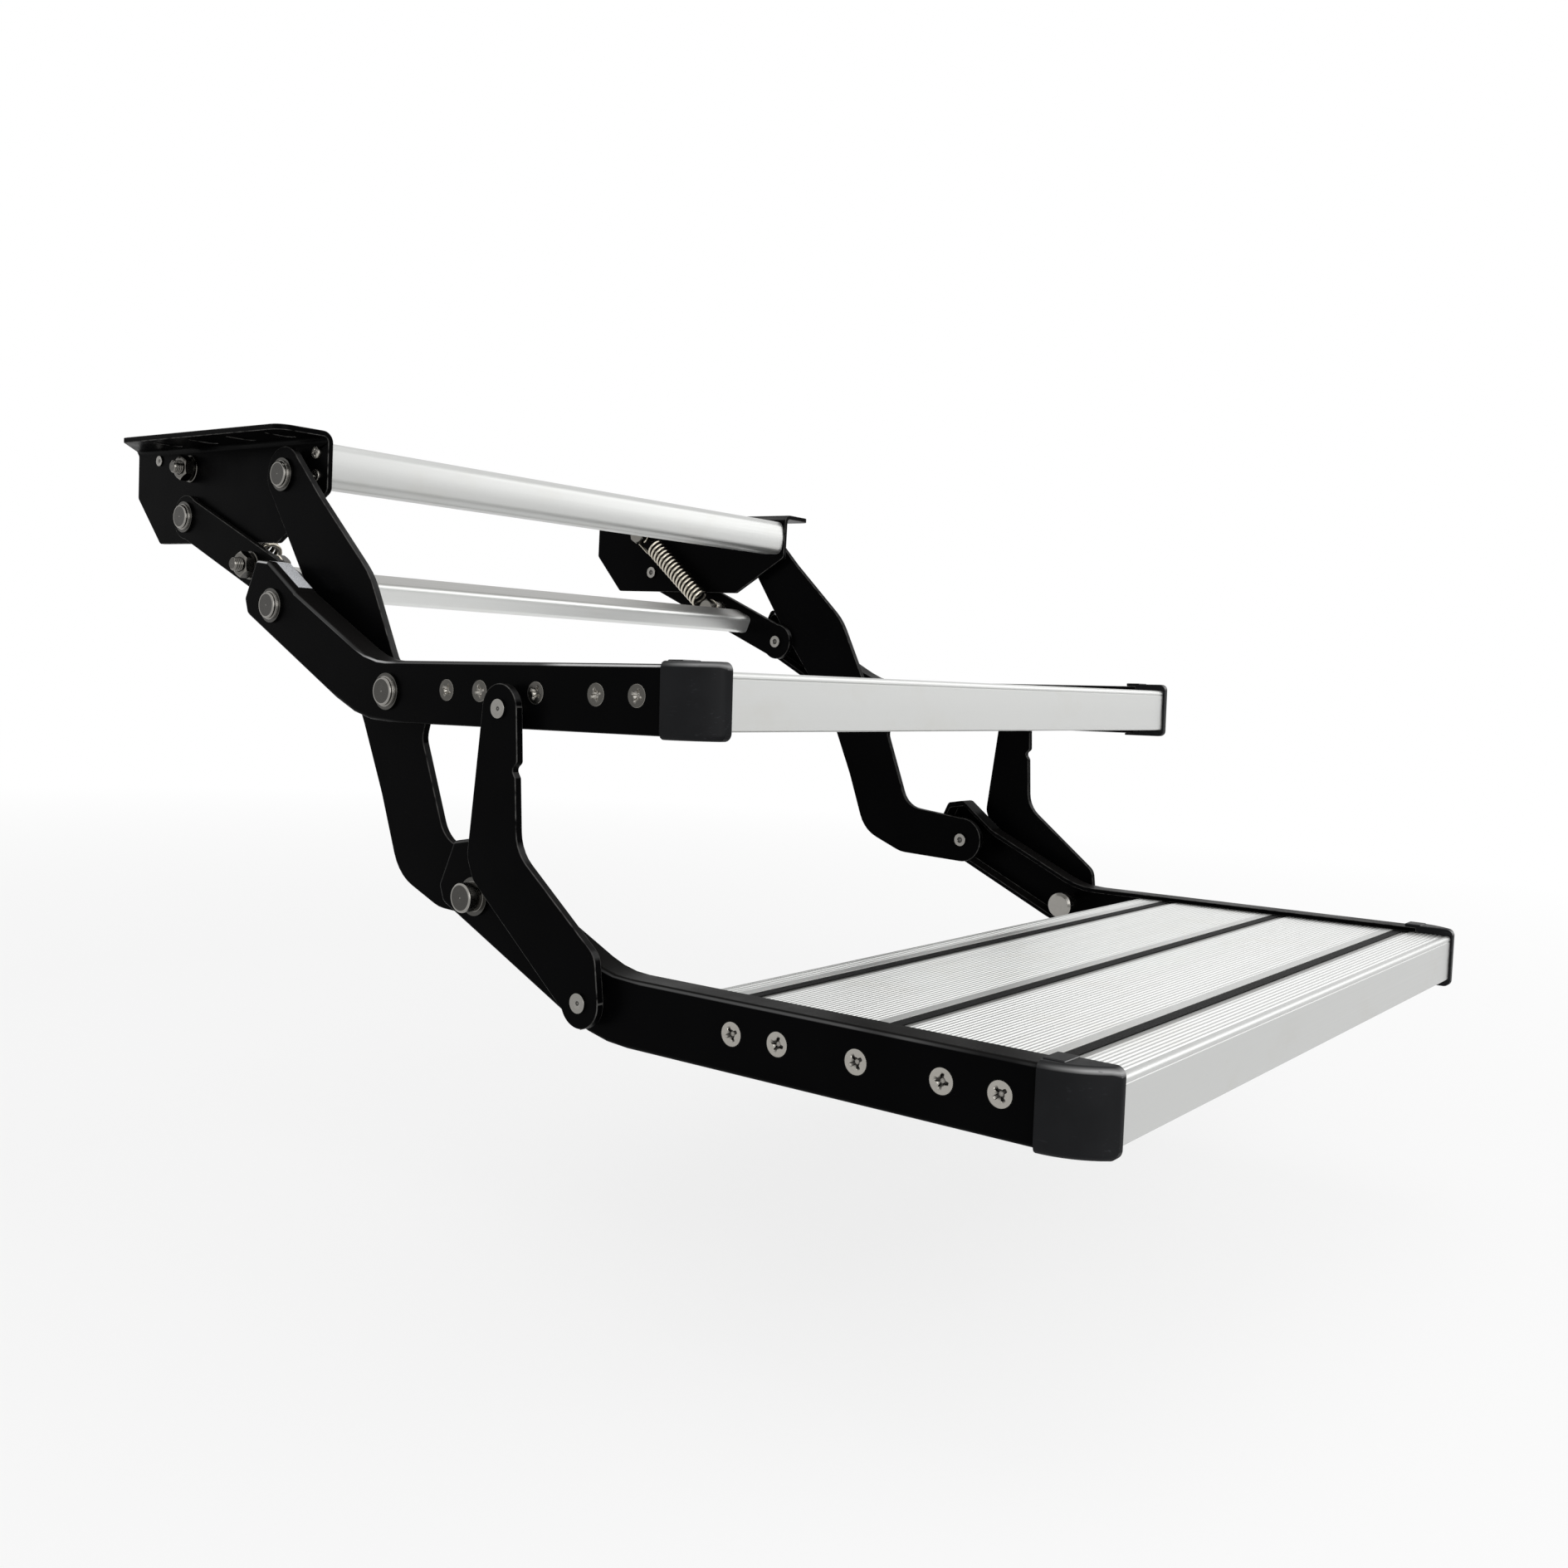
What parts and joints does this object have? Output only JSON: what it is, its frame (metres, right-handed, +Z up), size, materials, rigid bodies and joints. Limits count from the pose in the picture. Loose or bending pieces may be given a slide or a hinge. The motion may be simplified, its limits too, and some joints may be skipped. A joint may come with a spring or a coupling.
{
  "type": "double pull-out entrance step",
  "caption": "Folding double entrance step for a caravan: a linkage lets both treads swing out level from under the floor and locks them open.",
  "frame": {"origin": "midway between the two brackets, on the top face of their flanges, at the middle of the slot pattern", "axes": "+X across the step to its right-hand side as seen by someone in the caravan looking out, -Y away from the caravan towards the front of the treads, +Z up"},
  "size_m": [0.6284, 0.9035, 0.3676],
  "materials": {
    "black_steel": "semi-gloss black powder coat",
    "anodised_aluminium": "fine extruded, clear anodised",
    "pin_steel": "turned, bright zinc",
    "zinc_steel": "bright zinc plate",
    "spring_steel": "nickel-plated wire",
    "grip_rubber": "matte black",
    "cap_plastic": "fine-grained charcoal black"
  },
  "bodies": {
    "mount": {"bracket_left": "black_steel", "bracket_right": "black_steel", "cross_bar": "anodised_aluminium", "cross_bar_screws": "zinc_steel", "bracket_rivets": "pin_steel", "arm_pivot_pins": "pin_steel", "link_pivot_pins": "pin_steel", "bracket_spring_bolts": "zinc_steel", "bracket_spring_nuts": "zinc_steel"},
    "main_arms": {"arm_left": "black_steel", "arm_right": "black_steel"},
    "rear_links": {"rear_link_left": "black_steel", "rear_link_right": "black_steel", "tie_bar": "anodised_aluminium", "link_spring_bolts": "zinc_steel", "link_spring_nuts": "zinc_steel", "link_spring_bushes": "pin_steel", "toggle_rivets": "pin_steel"},
    "upper_step": {"upper_frame_left": "black_steel", "upper_frame_right": "black_steel", "upper_tread": "anodised_aluminium", "upper_grip_strips": "grip_rubber", "upper_end_caps": "cap_plastic", "upper_frame_screws": "zinc_steel", "upper_step_pins": "pin_steel", "upper_step_spacers": "pin_steel", "toggle_pins": "pin_steel", "toggle_spacers": "pin_steel"},
    "lower_step": {"lower_frame_left": "black_steel", "lower_frame_right": "black_steel", "lower_tread": "anodised_aluminium", "lower_grip_strips": "grip_rubber", "lower_end_caps": "cap_plastic", "lower_frame_screws": "zinc_steel", "lower_step_pins": "pin_steel", "lower_step_spacers": "pin_steel", "brace_foot_bushes": "pin_steel"},
    "brace_links": {"brace_left": "black_steel", "brace_right": "black_steel", "brace_top_rivets": "pin_steel", "brace_top_spacers": "pin_steel", "brace_foot_rivets": "pin_steel"},
    "springs": {"spring_left": "spring_steel", "spring_right": "spring_steel"}
  },
  "joints": [
    {"name": "arms_fold", "type": "hinge", "parent": "mount", "child": "main_arms", "pos_m": [0, -0.0675, -0.0305], "axis": [1, 0, 0], "range_deg": [0, 101.5]},
    {"name": "upper_step_turn", "type": "hinge", "parent": "main_arms", "child": "upper_step", "pos_m": [0, -0.23, -0.178], "axis": [1, 0, 0], "range_deg": [-104.7, 0]},
    {"name": "lower_step_turn", "type": "hinge", "parent": "main_arms", "child": "lower_step", "pos_m": [0, -0.323, -0.299], "axis": [1, 0, 0], "range_deg": [-108.5, 0]},
    {"name": "rear_links_swing", "type": "hinge", "parent": "mount", "child": "rear_links", "pos_m": [0, 0.0715, -0.058], "axis": [1, 0, 0], "range_deg": [0, 140.3]},
    {"name": "braces_swing", "type": "hinge", "parent": "upper_step", "child": "brace_links", "pos_m": [0, -0.35021, -0.18181], "axis": [1, 0, 0], "range_deg": [0, 83.8]},
    {"name": "springs_swing", "type": "hinge", "parent": "mount", "child": "springs", "pos_m": [0, 0.074, -0.02], "axis": [1, 0, 0], "range_deg": [0, 105.4], "deforming": ["spring_left", "spring_right"]}
  ],
  "couplings": [
    {"joint": "upper_step_turn", "follows": "arms_fold", "ratio": -1.0298},
    {"joint": "lower_step_turn", "follows": "arms_fold", "ratio": -1.067},
    {"joint": "rear_links_swing", "follows": "arms_fold", "ratio": 1.3807},
    {"joint": "braces_swing", "follows": "arms_fold", "ratio": 0.82433},
    {"joint": "springs_swing", "follows": "arms_fold", "ratio": 1.0365}
  ]
}
